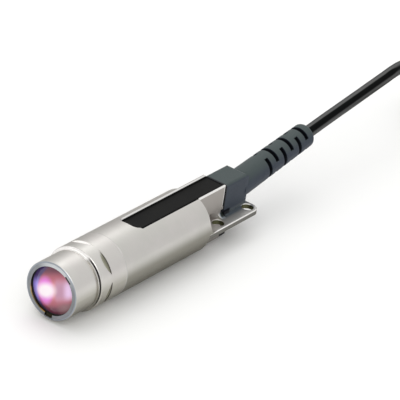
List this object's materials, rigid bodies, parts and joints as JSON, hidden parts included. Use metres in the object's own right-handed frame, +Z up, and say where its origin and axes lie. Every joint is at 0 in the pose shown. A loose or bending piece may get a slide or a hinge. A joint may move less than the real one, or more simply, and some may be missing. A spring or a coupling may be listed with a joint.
{
  "type": "confocal displacement sensor head",
  "caption": "Pen-type confocal displacement sensor head with coated lens, screwed steel barrel, plate with screw holes, slotted cable boot and fibre cable with plug.",
  "frame": {"origin": "under the middle of the head's box without the cable, on the surface that the barrel lies on", "axes": "+Z up; the optical axis runs along Y, the lens looks toward -Y and the cable leaves toward +Y"},
  "size_m": [0.0376, 0.1448, 0.016],
  "materials": {
    "barrel_steel": "fine satin, warm grey",
    "ring_steel": "satin, cool grey",
    "seal_rubber": "matt black",
    "coated_glass": "polished, with a magenta antireflection coating",
    "lens_glass": "polished",
    "black_spacer": "black anodised, matt",
    "ferrule_white": "polished white zirconia",
    "holder_brass": "turned",
    "screw_steel": "black oxide",
    "fibre_buffer": "smooth yellow buffer",
    "label_black": "matt black film, bare",
    "boot_slate": "moulded elastomer, slate grey",
    "cable_black": "smooth jacket, half gloss",
    "plug_rubber": "matt black",
    "plug_metal": "nickel plated"
  },
  "bodies": {
    "root": {"front_barrel": "barrel_steel", "lens_retaining_ring": "ring_steel", "front_lens_seal": "seal_rubber", "front_lens": "coated_glass", "front_spacer": "black_spacer", "second_lens": "lens_glass", "middle_spacer": "black_spacer", "third_lens": "lens_glass", "rear_spacer": "black_spacer", "fourth_lens": "lens_glass", "barrel_o_ring": "seal_rubber", "housing": "barrel_steel", "relay_lock_ring": "ring_steel", "relay_tube": "black_spacer", "relay_retaining_ring": "black_spacer", "diffractive_lens": "lens_glass", "diffractive_spacer": "black_spacer", "collimator_front_lens": "lens_glass", "collimator_spacer": "black_spacer", "collimator_rear_lens": "lens_glass", "fibre_ferrule": "ferrule_white", "ferrule_holder": "holder_brass", "holder_set_screw": "screw_steel", "buffered_fibre": "fibre_buffer", "label_plate": "label_black", "cable_boot": "boot_slate", "crimp_sleeve": "ring_steel", "fibre_cable": "cable_black", "cable_coil": "cable_black", "cable_tail": "cable_black", "plug_boot": "plug_rubber", "plug_body": "plug_metal", "plug_ferrule_flange": "plug_metal", "plug_ferrule": "ferrule_white"}
  },
  "joints": []
}
